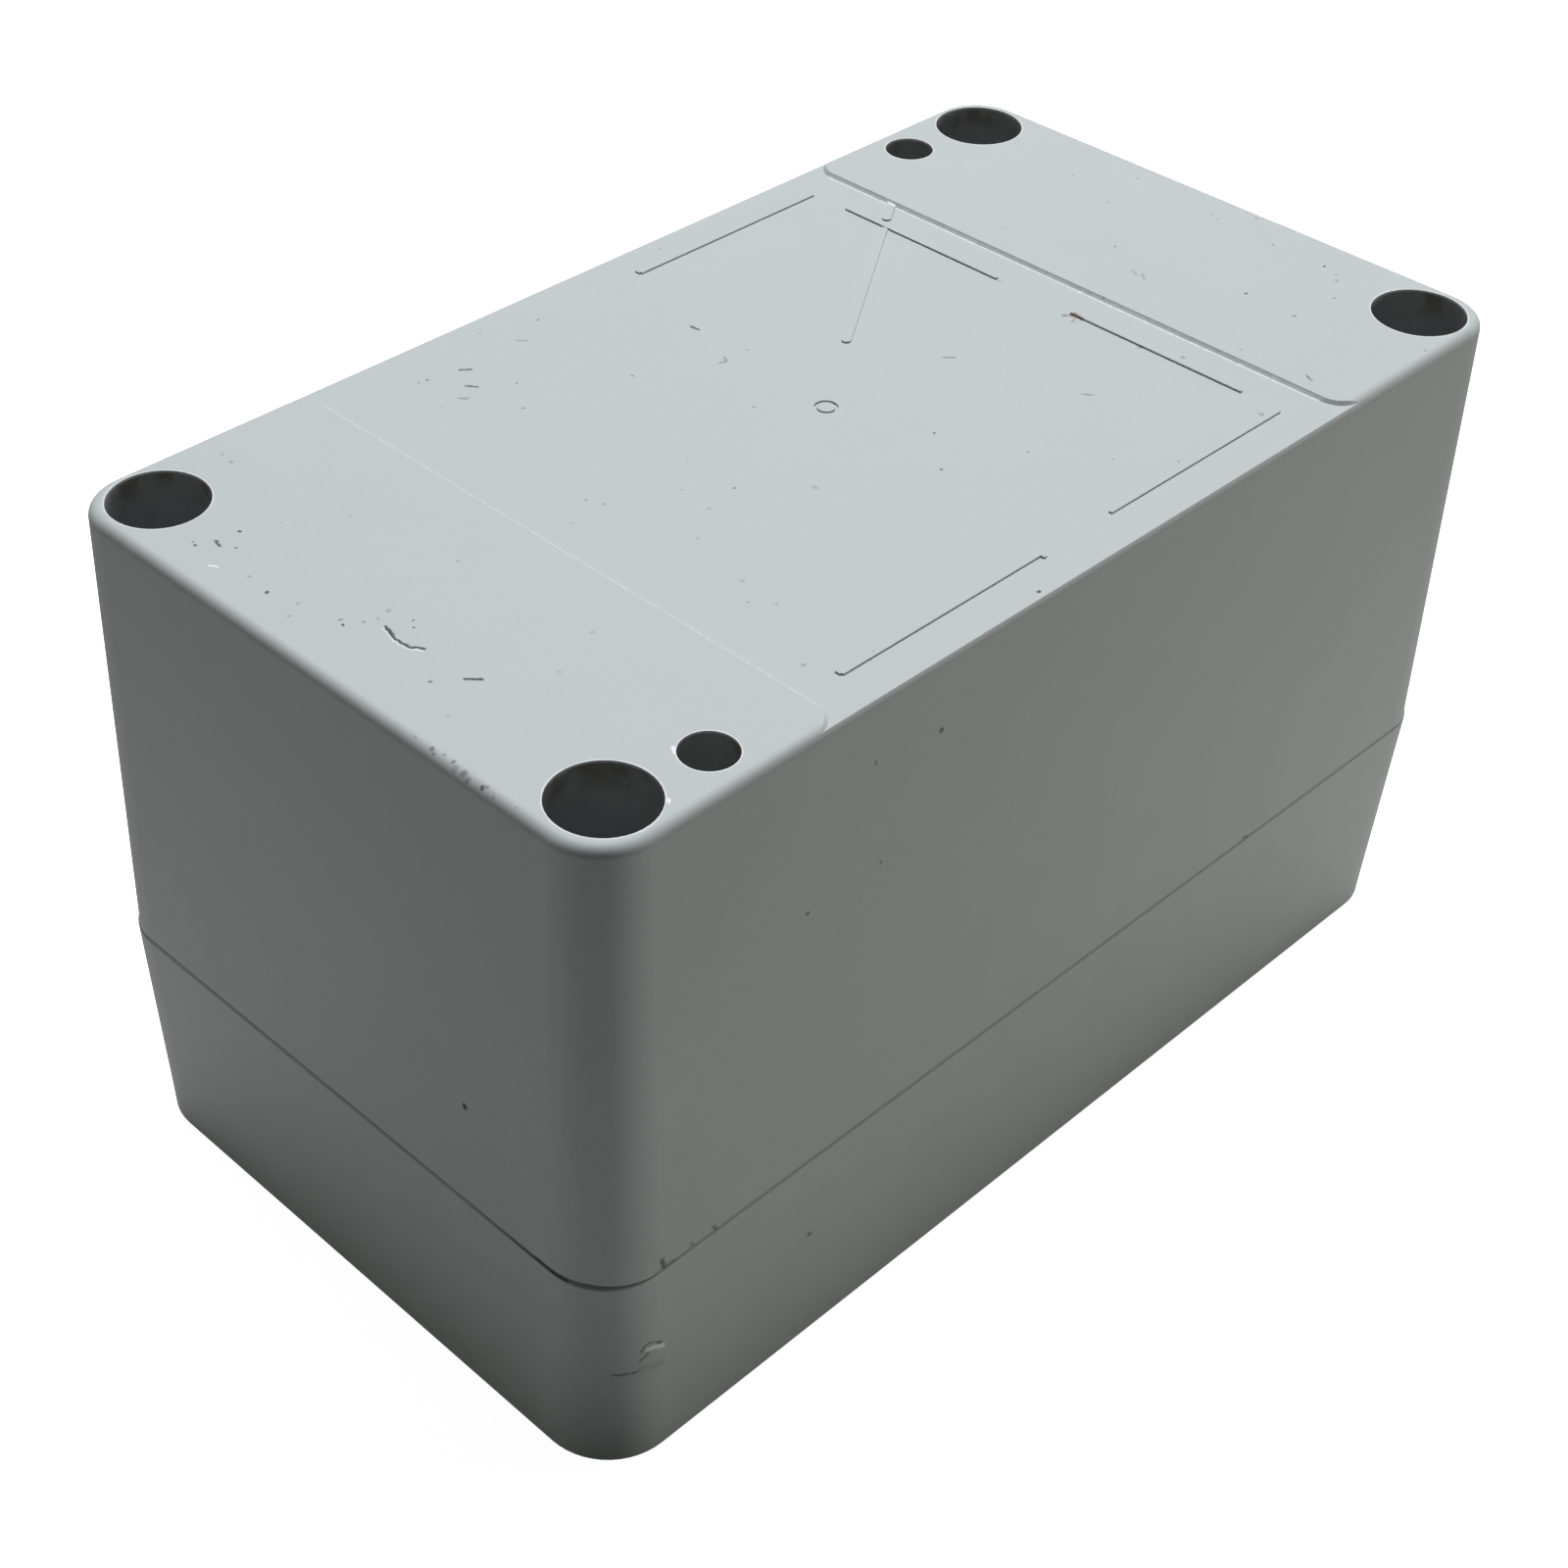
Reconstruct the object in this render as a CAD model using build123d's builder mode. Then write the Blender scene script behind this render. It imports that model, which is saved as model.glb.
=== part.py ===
from build123d import *
from math import radians, tan
import os

# Push-button enclosure of moulded, glass-filled polyester, for two push-buttons.
# It lies face down, as it is stored: the lid's face is on Z = 0 and the back, which
# goes against the wall, is on top. X runs along the enclosure and Y across it. The
# origin is the centre of the lid's face. All sizes are in millimetres.

# Outside of the two mouldings
seam_length = 145.6
seam_width = 83.6
seam_radius = 8.0
base_height = 56.2
base_draft = 1.63
back_edge_radius = 1.25
lid_height = 29.8
lid_draft = 1.0
lid_seam_radius = 7.5
lid_face_radius = 8.4
face_edge = 0.4

# Shadow gap that runs round the seam, between the edges of the two mouldings
seam_gap = 0.2
seam_gap_depth = 0.8
seam_arris = 0.1

# Walls, and the blocks in the corners that keep screws outside the seal
rim_wall = 5.0
back_wall = 5.0
cavity_radius = 4.2
block_web = 3.0

# Lid screws in the four corners, and the cores that lighten the base behind them
screw_edge_x = 8.7
screw_edge_y = 8.4
core_radius = 5.5
core_depth = 42.0
screw_radius = 2.0
screw_waist_radius = 1.5
screw_hole_clearance = 0.35
thread_clearance = 0.05
screw_head_radius = 4.25
screw_head_height = 5.0
screw_head_depth = 10.0
counterbore_clearance = 0.6
hex_across = 4.0
hex_depth = 2.8
insert_radius = 3.0
insert_length = 10.0
insert_groove = 0.4
insert_groove_start = 4.0
insert_groove_width = 2.0
seal_ring_thickness = 1.2

# Wall-mounting holes, on one diagonal of the back
mount_edge_x = 20.3
mount_edge_y = 6.8
mount_radius = 3.0
mount_web = 6.5
mount_head_radius = 5.3
mount_head_pocket = 4.5

# Tongue on the base and gasket groove in the lid
tongue_inset = 1.4
tongue_width = 1.8
tongue_height = 3.0
groove_clearance = 0.3
gasket_thickness = 1.9
gasket_gap = 0.1

# Raised end pads and moulded lines on the back
field_length = 80.0
pad_height = 0.4
pad_slope = 45.0
pad_corner = 3.0
pad_inset = 0.6
line_width = 0.45
line_height = 0.2
line_reach = 34.8
line_gap = 11.2
cross_line_edge = 4.8
cross_line_reach = 29.7
hook_length = 0.7
rib_width = 1.1
rib_start = 13.5
rib_gap = 0.5
stub_gap = 1.5
sprue_place = (-0.4, -0.5)
sprue_radius = 1.35
sprue_ring = 0.35
sprue_depth = 0.2

# Where the base's lower edge was trimmed back and the seam stands open
trim_start = 19.0
trim_full = 3.5
trim_height = 0.42
trim_depth = 0.7

# Recess in the lid's face, with the panel that carries the push-buttons
recess_depth = 12.0
recess_radius = 8.0
recess_margin = 8.0
recess_band = 23.0
panel_thickness = 3.5

# Push-button actuators
button_pitch = 60.0
bezel_radius = 14.8
bezel_height = 8.0
bezel_edge = 1.2
panel_gasket_thickness = 1.0
barrel_radius = 11.0
barrel_wall = 1.0
barrel_length = 21.0
barrel_floor = 1.5
bar_room = 5.5
panel_hole_clearance = 0.25
cap_clearance = 0.2
cap_recess = 0.6
cap_skirt = 12.0
cap_wall = 1.8
cap_face = 2.5
cap_edge_radius = 0.6
button_travel = 4.0
stem_radius = 4.0
stem_clearance = 0.2
flange_thickness = 2.0
lock_ring_radius = 14.0
lock_ring_height = 5.0
lock_ring_notches = 12
notch_width = 2.4
notch_depth = 1.2
spring_wire = 0.5
spring_radius = 6.4
spring_turns = 7
bar_thickness = 2.5
bar_length = 15.5
bar_width = 5.0
bar_window_clearance = 1.25
rest_gap = 0.2

# Contact carriers and contact blocks
carrier_length = 46.0
carrier_width = 30.0
carrier_plate = 4.0
carrier_collar = 11.0
collar_wall = 2.2
block_length = 44.0
block_width = 10.6
block_height = 24.0
block_gap = 0.6
block_wall = 1.2
block_edge = 0.6
chamber_height = 18.0
pocket_length = 7.0
pocket_lip = 0.8
plunger_radius = 1.5
plunger_top = 13.0
strip_level = 10.0
strip_thickness = 1.0
strip_slot = 5.8
strip_tip = 4.0
bridge_length = 14.0
bridge_thickness = 1.0
contact_gap = 0.1
terminal_screw_radius = 1.7
terminal_depth = 5.0
terminal_head_radius = 3.0
terminal_head_height = 2.2
clamp_plate = 0.8

# Earth bar on two bosses inside the back
earth_bar_length = 44.0
earth_bar_width = 9.0
earth_bar_thickness = 2.5
earth_y = 22.0
earth_boss_radius = 4.5
earth_boss_height = 5.0
earth_screw_radius = 2.0
earth_head_radius = 3.6
earth_head_height = 2.4
earth_screw_depth = 4.0
clamp_spacing = 14.0
saddle_length = 8.0
saddle_thickness = 1.2
driver_slot = 0.8

# Levels and places that follow from the sizes above
overall_height = lid_height + base_height
back_width = seam_width - 2 * base_height * tan(radians(base_draft))
cavity_length = seam_length - 2 * rim_wall
cavity_width = seam_width - 2 * rim_wall
cavity_top = overall_height - back_wall
field_level = overall_height - pad_height
screw_x = seam_length / 2 - screw_edge_x
screw_y = seam_width / 2 - screw_edge_y
mount_x = seam_length / 2 - mount_edge_x
mount_y = seam_width / 2 - mount_edge_y
face_length = seam_length - 2 * lid_height * tan(radians(lid_draft))
face_width = seam_width - 2 * lid_height * tan(radians(lid_draft))
lid_edge_level = lid_height - seam_gap
gasket_level = lid_height - tongue_height - gasket_gap
groove_level = gasket_level - gasket_thickness
panel_level = recess_depth + panel_thickness
recess_length = button_pitch + 2 * (bezel_radius + recess_margin)
recess_width = 2 * recess_band
bezel_top = recess_depth - panel_gasket_thickness
bezel_bottom = bezel_top - bezel_height
barrel_end = bezel_top + barrel_length
barrel_bore = barrel_radius - barrel_wall
floor_top = barrel_end - bar_room
floor_bottom = floor_top - barrel_floor
cap_bottom = bezel_bottom + cap_recess
cap_radius = barrel_bore - cap_clearance
skirt_bore = cap_radius - cap_wall
flange_bottom = cap_bottom + cap_face
flange_top = flange_bottom + flange_thickness
bar_bottom = floor_top + rest_gap
bar_top = bar_bottom + bar_thickness
block_bottom = barrel_end + carrier_plate
block_top = block_bottom + block_height
strip_bottom = block_bottom + strip_level
strip_top = strip_bottom + strip_thickness
strip_end = block_length / 2 - pocket_lip
terminal_y = strip_end - pocket_length / 2
chamber_length = 2 * (strip_end - pocket_length - block_wall)
block_offset = (block_width + block_gap) / 2
strip_width = strip_slot - contact_gap
screw_seat = screw_head_depth + screw_head_height + seal_ring_thickness
earth_seat = cavity_top - earth_boss_height
earth_underside = earth_seat - earth_bar_thickness
earth_screw_x = (earth_bar_length - earth_bar_width) / 2
earth_ends = [(-earth_screw_x, earth_y), (earth_screw_x, earth_y)]
earth_clamps = [(-clamp_spacing / 2, earth_y), (clamp_spacing / 2, earth_y)]
button_places = (-button_pitch / 2, button_pitch / 2)

os.makedirs("parts", exist_ok=True)


def save(piece, name):
    """Labels a finished piece and writes it to its own file."""
    piece.part.label = name
    export_step(piece.part, f"parts/{name}.step")


# The inside outline, shared by both mouldings. The corner blocks stand inside it, so
# that the lid screws and the mounting holes lie outside the seal.
with BuildSketch() as cavity_plan:
    plain_block_x = screw_x - core_radius - block_web
    mount_block_x = mount_x - mount_radius - mount_web
    block_y = screw_y - core_radius - block_web
    Rectangle(2 * plain_block_x, cavity_width)
    Rectangle(cavity_length, 2 * block_y)
    # the blocks on the holes' diagonal reach further in
    with Locations((plain_block_x, cavity_width / 2)):
        Rectangle(plain_block_x - mount_block_x, cavity_width / 2 - block_y,
                  align=(Align.MAX, Align.MAX), mode=Mode.SUBTRACT)
    with Locations((-plain_block_x, -cavity_width / 2)):
        Rectangle(plain_block_x - mount_block_x, cavity_width / 2 - block_y,
                  align=(Align.MIN, Align.MIN), mode=Mode.SUBTRACT)
    fillet(cavity_plan.vertices(), cavity_radius)

with BuildSketch() as tongue_plan:
    offset(cavity_plan.sketch, amount=tongue_inset + tongue_width)
    offset(cavity_plan.sketch, amount=tongue_inset, mode=Mode.SUBTRACT)

with BuildSketch() as groove_plan:
    offset(cavity_plan.sketch, amount=tongue_inset + tongue_width + groove_clearance)
    offset(cavity_plan.sketch, amount=tongue_inset - groove_clearance, mode=Mode.SUBTRACT)

# The moulded lines on the lowered field: a line along each long edge and one across,
# each broken where the mould leaves room, and a flat rib on the holes' diagonal.
with BuildSketch() as line_plan:
    half_gap = line_gap / 2
    line_length = line_reach - half_gap
    line_middle = (line_reach + half_gap) / 2
    cross_x = field_length / 2 - cross_line_edge
    cross_length = cross_line_reach - half_gap
    cross_middle = (cross_line_reach + half_gap) / 2
    with Locations((-line_middle, -mount_y), (line_middle, -mount_y), (line_middle, mount_y)):
        Rectangle(line_length, line_width)
    with Locations((cross_x, cross_middle), (cross_x, -cross_middle)):
        Rectangle(line_width, cross_length)
    with Locations((-line_reach, -mount_y), (half_gap, mount_y)):
        Rectangle(line_width, hook_length, align=(Align.CENTER, Align.MIN))
    with Locations((-half_gap, -mount_y)):
        Rectangle(line_width, hook_length, align=(Align.CENTER, Align.MAX))

diagonal = Vector(mount_x, mount_y).normalized()
diagonal_angle = Vector(1, 0).get_angle(diagonal)
rib_crossing = cross_x / diagonal.X
stub_stop = field_length / 2 / diagonal.X + rib_width
with BuildSketch() as rib_plan:
    for start, stop in ((rib_start, rib_crossing - rib_gap), (rib_crossing + stub_gap, stub_stop)):
        middle = diagonal * (start + stop) / 2
        with Locations((middle.X, middle.Y)):
            SlotOverall(stop - start, rib_width, rotation=diagonal_angle)

# The sliver that was trimmed off the base's lower edge, on the end that faces -X. It
# starts from nothing, and is at its full height just before the corner.
with BuildPart() as trimmed_edge:
    with BuildSketch(Plane.XY.offset(lid_height)):
        RectangleRounded(seam_length + 2 * trim_depth, seam_width + 2 * trim_depth, seam_radius + trim_depth)
        RectangleRounded(seam_length - 2 * trim_depth, seam_width - 2 * trim_depth, seam_radius - trim_depth,
                         mode=Mode.SUBTRACT)
    extrude(amount=trim_height)
    with BuildSketch(Plane.YZ.offset(-seam_length / 2 - trim_depth)):
        with BuildLine():
            Polyline((trim_start - seam_width / 2, lid_height),
                     (-seam_width / 2, lid_height),
                     (trim_full - seam_width / 2, lid_height + trim_height),
                     close=True)
        make_face()
    extrude(amount=seam_radius, mode=Mode.INTERSECT)

# The lowered field between the two end pads, whose edges slope down to it
with BuildPart() as field:
    with BuildSketch(Plane.XY.offset(field_level)):
        Rectangle(field_length + 2 * pad_corner, seam_width)
    extrude(amount=pad_height)
    with BuildSketch(Plane.XY.offset(field_level)):
        with GridLocations(field_length + seam_length / 2, 0, 2, 1):
            RectangleRounded(seam_length / 2, back_width - pad_inset, pad_corner)
    extrude(amount=pad_height, taper=pad_slope, mode=Mode.SUBTRACT)

# Base: the deep moulding that is fixed to the wall
with BuildPart() as base:
    with BuildSketch(Plane.XY.offset(lid_height)):
        RectangleRounded(seam_length, seam_width, seam_radius)
    extrude(amount=base_height, taper=base_draft)
    fillet(base.faces().sort_by(Axis.Z)[-1].edges(), back_edge_radius)
    add(field.part, mode=Mode.SUBTRACT)
    with BuildSketch(Plane.XY.offset(field_level)):
        add(line_plan.sketch)
        add(rib_plan.sketch)
    extrude(amount=line_height)
    with BuildSketch(Plane.XY.offset(field_level)):
        with Locations(sprue_place):
            Circle(sprue_radius)
            Circle(sprue_radius - sprue_ring, mode=Mode.SUBTRACT)
    extrude(amount=-sprue_depth, mode=Mode.SUBTRACT)
    # cavity, and the tongue that presses on the lid's gasket
    with BuildSketch(Plane.XY.offset(lid_height)):
        add(cavity_plan.sketch)
    extrude(amount=base_height - back_wall, mode=Mode.SUBTRACT)
    with BuildSketch(Plane.XY.offset(lid_height)):
        add(tongue_plan.sketch)
    extrude(amount=-tongue_height)
    # cores and insert bores in the corner blocks, and the mounting holes
    with BuildSketch(Plane.XY.offset(overall_height)):
        with GridLocations(2 * screw_x, 2 * screw_y, 2, 2):
            Circle(core_radius)
    extrude(amount=-core_depth, mode=Mode.SUBTRACT)
    with BuildSketch(Plane.XY.offset(lid_height)):
        with GridLocations(2 * screw_x, 2 * screw_y, 2, 2):
            Circle(insert_radius)
    extrude(amount=insert_length, mode=Mode.SUBTRACT)
    with BuildSketch(Plane.XY.offset(lid_height)):
        with Locations((mount_x, mount_y), (-mount_x, -mount_y)):
            Circle(mount_radius)
    extrude(amount=base_height, mode=Mode.SUBTRACT)
    # bosses for the earth bar, with holes for its screws
    with BuildSketch(Plane.XY.offset(earth_seat)):
        with Locations(*earth_ends):
            Circle(earth_boss_radius)
    extrude(amount=earth_boss_height)
    with BuildSketch(Plane.XY.offset(earth_seat)):
        with Locations(*earth_ends):
            Circle(earth_screw_radius)
    extrude(amount=earth_screw_depth, mode=Mode.SUBTRACT)
    add(trimmed_edge.part, mode=Mode.SUBTRACT)
save(base, "base")

# Threaded brass inserts in the base, one behind each lid screw
with BuildPart() as lid_screw_inserts:
    with BuildSketch(Plane.XY.offset(lid_height)):
        with GridLocations(2 * screw_x, 2 * screw_y, 2, 2):
            Circle(insert_radius)
    extrude(amount=insert_length)
    # groove round the middle, which the moulding grips
    with BuildSketch(Plane.XY.offset(lid_height + insert_groove_start)):
        with GridLocations(2 * screw_x, 2 * screw_y, 2, 2):
            Circle(insert_radius)
            Circle(insert_radius - insert_groove, mode=Mode.SUBTRACT)
    extrude(amount=insert_groove_width, mode=Mode.SUBTRACT)
    with BuildSketch(Plane.XY.offset(lid_height)):
        with GridLocations(2 * screw_x, 2 * screw_y, 2, 2):
            Circle(screw_radius + thread_clearance)
    extrude(amount=insert_length, mode=Mode.SUBTRACT)
save(lid_screw_inserts, "lid_screw_inserts")

# Earth bar, its two fixing screws, and two clamp screws with saddles for the wires
with BuildPart() as earth_bar:
    with BuildSketch(Plane.XY.offset(earth_underside)):
        with Locations((0, earth_y)):
            SlotOverall(earth_bar_length, earth_bar_width)
        with Locations(*earth_ends, *earth_clamps):
            Circle(earth_screw_radius + thread_clearance, mode=Mode.SUBTRACT)
    extrude(amount=earth_bar_thickness)
save(earth_bar, "earth_bar")


def pan_screws(places, head_level, shank_radius, shank_length, head_radius, head_height):
    """Slotted screws that point up, their heads under head_level."""
    with BuildPart() as screws:
        with BuildSketch(Plane.XY.offset(head_level - head_height)):
            with Locations(*places):
                Circle(head_radius)
        extrude(amount=head_height)
        with BuildSketch(Plane.XY.offset(head_level)):
            with Locations(*places):
                Circle(shank_radius)
        extrude(amount=shank_length)
        with BuildSketch(Plane.XY.offset(head_level - head_height)):
            with Locations(*places):
                Rectangle(2 * head_radius, driver_slot)
        extrude(amount=head_height / 2, mode=Mode.SUBTRACT)
    return screws


earth_bar_screws = pan_screws(earth_ends, earth_underside, earth_screw_radius,
                              earth_bar_thickness + earth_screw_depth - rest_gap,
                              earth_head_radius, earth_head_height)
save(earth_bar_screws, "earth_bar_screws")
earth_clamp_screws = pan_screws(earth_clamps, earth_underside - saddle_thickness, earth_screw_radius,
                                saddle_thickness + earth_bar_thickness, earth_head_radius, earth_head_height)
save(earth_clamp_screws, "earth_clamp_screws")

with BuildPart() as earth_clamp_saddles:
    with BuildSketch(Plane.XY.offset(earth_underside - saddle_thickness)):
        with Locations(*earth_clamps):
            Rectangle(saddle_length, earth_bar_width)
            Circle(earth_screw_radius + thread_clearance, mode=Mode.SUBTRACT)
    extrude(amount=saddle_thickness)
save(earth_clamp_saddles, "earth_clamp_saddles")

# Lid: the shallower moulding, with a recessed panel for the push-buttons
with BuildPart() as lid:
    # outside, through its outlines from the face up to the seam, both edges chamfered
    with BuildSketch():
        RectangleRounded(face_length - 2 * face_edge, face_width - 2 * face_edge,
                         lid_face_radius - face_edge)
    with BuildSketch(Plane.XY.offset(face_edge)):
        RectangleRounded(face_length, face_width, lid_face_radius)
    with BuildSketch(Plane.XY.offset(lid_edge_level - seam_arris)):
        RectangleRounded(seam_length, seam_width, lid_seam_radius)
    with BuildSketch(Plane.XY.offset(lid_edge_level)):
        RectangleRounded(seam_length - 2 * seam_arris, seam_width - 2 * seam_arris,
                         lid_seam_radius - seam_arris)
    loft(ruled=True)
    # land that meets the base, set in from the edge
    with BuildSketch(Plane.XY.offset(lid_edge_level)):
        RectangleRounded(seam_length - 2 * seam_gap_depth, seam_width - 2 * seam_gap_depth,
                         lid_seam_radius - seam_gap_depth)
    extrude(amount=seam_gap)
    # recess in the face
    with BuildSketch():
        RectangleRounded(recess_length, recess_width, recess_radius)
    extrude(amount=recess_depth, mode=Mode.SUBTRACT)
    # inside: open above the panel, with a channel around the recess
    with BuildSketch(Plane.XY.offset(panel_level)):
        add(cavity_plan.sketch)
    extrude(amount=lid_height - panel_level, mode=Mode.SUBTRACT)
    with BuildSketch(Plane.XY.offset(panel_thickness)):
        add(cavity_plan.sketch)
        RectangleRounded(recess_length + 2 * panel_thickness, recess_width + 2 * panel_thickness,
                         recess_radius + panel_thickness, mode=Mode.SUBTRACT)
    extrude(amount=recess_depth, mode=Mode.SUBTRACT)
    with BuildSketch(Plane.XY.offset(groove_level)):
        add(groove_plan.sketch)
    extrude(amount=lid_height - groove_level, mode=Mode.SUBTRACT)
    # holes for the lid screws, with deep counterbores in the face
    with BuildSketch():
        with GridLocations(2 * screw_x, 2 * screw_y, 2, 2):
            Circle(screw_head_radius + counterbore_clearance)
    extrude(amount=screw_seat, mode=Mode.SUBTRACT)
    with BuildSketch(Plane.XY.offset(screw_seat)):
        with GridLocations(2 * screw_x, 2 * screw_y, 2, 2):
            Circle(screw_waist_radius + screw_hole_clearance)
    extrude(amount=lid_height - screw_seat, mode=Mode.SUBTRACT)
    # pockets over the heads of the wall-mounting screws
    with BuildSketch(Plane.XY.offset(lid_height - mount_head_pocket)):
        with Locations((mount_x, mount_y), (-mount_x, -mount_y)):
            Circle(mount_head_radius)
    extrude(amount=mount_head_pocket, mode=Mode.SUBTRACT)
    # panel holes for the push-buttons
    with BuildSketch(Plane.XY.offset(recess_depth)):
        with GridLocations(button_pitch, 0, 2, 1):
            Circle(barrel_radius + panel_hole_clearance)
    extrude(amount=panel_thickness, mode=Mode.SUBTRACT)
save(lid, "lid")

with BuildPart() as lid_gasket:
    with BuildSketch(Plane.XY.offset(groove_level)):
        add(groove_plan.sketch)
    extrude(amount=gasket_thickness)
save(lid_gasket, "lid_gasket")

# Lid screws with hexagon sockets, and the sealing ring under each head. Their waists pass
# through the lid. The threads behind are wider than its holes, so the screws stay in it.
with BuildPart() as lid_screws:
    with BuildSketch(Plane.XY.offset(screw_head_depth)):
        with GridLocations(2 * screw_x, 2 * screw_y, 2, 2):
            Circle(screw_head_radius)
    extrude(amount=screw_head_height)
    with BuildSketch(Plane.XY.offset(screw_head_depth + screw_head_height)):
        with GridLocations(2 * screw_x, 2 * screw_y, 2, 2):
            Circle(screw_waist_radius)
    extrude(amount=lid_height - screw_head_depth - screw_head_height + insert_length - rest_gap)
    with BuildSketch(Plane.XY.offset(lid_height + rest_gap)):
        with GridLocations(2 * screw_x, 2 * screw_y, 2, 2):
            Circle(screw_radius)
    extrude(amount=insert_length - 2 * rest_gap)
    with BuildSketch(Plane.XY.offset(screw_head_depth)):
        with GridLocations(2 * screw_x, 2 * screw_y, 2, 2):
            RegularPolygon(hex_across / 2, 6, major_radius=False)
    extrude(amount=hex_depth, mode=Mode.SUBTRACT)
save(lid_screws, "lid_screws")

with BuildPart() as lid_screw_seals:
    with BuildSketch(Plane.XY.offset(screw_head_depth + screw_head_height)):
        with GridLocations(2 * screw_x, 2 * screw_y, 2, 2):
            Circle(screw_head_radius)
            Circle(screw_waist_radius + thread_clearance, mode=Mode.SUBTRACT)
    extrude(amount=seal_ring_thickness)
save(lid_screw_seals, "lid_screw_seals")


def ring(x, bottom, height, outer, inner):
    """A plain ring that stands on the level given, round a push-button's axis."""
    with BuildPart() as piece:
        with BuildSketch(Plane((x, 0, bottom))):
            Circle(outer)
            Circle(inner, mode=Mode.SUBTRACT)
        extrude(amount=height)
    return piece


def make_push_button(x, number):
    """One push-button, with the pieces that carry it in the panel."""
    # bezel and barrel, turned about the push-button's axis
    with BuildPart() as actuator_body:
        with BuildSketch(Plane((x, 0, 0), x_dir=(1, 0, 0), z_dir=(0, -1, 0))):
            with BuildLine():
                Polyline((barrel_bore, bezel_bottom), (bezel_radius - bezel_edge, bezel_bottom),
                         (bezel_radius, bezel_bottom + bezel_edge), (bezel_radius, bezel_top),
                         (barrel_radius, bezel_top), (barrel_radius, barrel_end),
                         (barrel_bore, barrel_end), (barrel_bore, floor_top),
                         (stem_radius + stem_clearance, floor_top),
                         (stem_radius + stem_clearance, floor_bottom),
                         (barrel_bore, floor_bottom), close=True)
            make_face()
        revolve(axis=Axis((x, 0, 0), (0, 0, 1)))
    save(actuator_body, f"actuator_body_{number}")

    panel_gasket = ring(x, bezel_top, panel_gasket_thickness, bezel_radius - bezel_edge / 2,
                        barrel_radius + thread_clearance)
    save(panel_gasket, f"panel_gasket_{number}")

    with BuildPart() as lock_ring:
        with BuildSketch(Plane((x, 0, panel_level))):
            Circle(lock_ring_radius)
            Circle(barrel_radius + thread_clearance, mode=Mode.SUBTRACT)
            with PolarLocations(lock_ring_radius, lock_ring_notches):
                Rectangle(2 * notch_depth, notch_width, mode=Mode.SUBTRACT)
        extrude(amount=lock_ring_height)
    save(lock_ring, f"lock_ring_{number}")

    # cap: a cup that slides in the barrel
    with BuildPart() as button_cap:
        with BuildSketch(Plane((x, 0, cap_bottom))):
            Circle(cap_radius)
        extrude(amount=cap_skirt)
        fillet(button_cap.faces().sort_by(Axis.Z)[0].edges(), cap_edge_radius)
        with BuildSketch(Plane((x, 0, flange_bottom))):
            Circle(skirt_bore)
        extrude(amount=cap_skirt, mode=Mode.SUBTRACT)
    save(button_cap, f"button_cap_{number}")

    # plunger: a flange that sits in the cap, and a stem through the barrel's floor
    with BuildPart() as plunger:
        with BuildSketch(Plane((x, 0, flange_bottom))):
            Circle(skirt_bore)
        extrude(amount=flange_thickness)
        with BuildSketch(Plane((x, 0, flange_top))):
            Circle(stem_radius)
        extrude(amount=bar_bottom - flange_top)
    save(plunger, f"plunger_{number}")

    with BuildPart() as cross_bar:
        with BuildSketch(Plane((x, 0, bar_bottom))):
            SlotOverall(bar_length, bar_width)
        extrude(amount=bar_thickness)
    save(cross_bar, f"cross_bar_{number}")

    # return spring, between the plunger's flange and the barrel's floor
    spring_length = floor_bottom - flange_top - 2 * spring_wire
    with BuildPart() as return_spring:
        with BuildLine(Plane((x, 0, flange_top + spring_wire))) as coil:
            Helix(pitch=spring_length / spring_turns, height=spring_length, radius=spring_radius)
        with BuildSketch(Plane(coil.line @ 0, z_dir=coil.line % 0)):
            Circle(spring_wire)
        sweep(path=coil.line, is_frenet=True)
    save(return_spring, f"return_spring_{number}")

    # carrier: a collar clipped on the barrel, and a plate for the contact blocks
    with BuildPart() as contact_carrier:
        with BuildSketch(Plane((x, 0, barrel_end - carrier_collar))):
            Circle(barrel_radius + thread_clearance + collar_wall)
        extrude(amount=carrier_collar)
        with BuildSketch(Plane((x, 0, barrel_end))):
            RectangleRounded(carrier_width, carrier_length, collar_wall)
        extrude(amount=carrier_plate)
        with BuildSketch(Plane((x, 0, barrel_end - carrier_collar))):
            Circle(barrel_radius + thread_clearance)
        extrude(amount=carrier_collar, mode=Mode.SUBTRACT)
        with BuildSketch(Plane((x, 0, barrel_end))):
            SlotOverall(bar_length + 2 * bar_window_clearance, bar_width + 2 * bar_window_clearance)
        extrude(amount=carrier_plate, mode=Mode.SUBTRACT)
    save(contact_carrier, f"contact_carrier_{number}")


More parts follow.
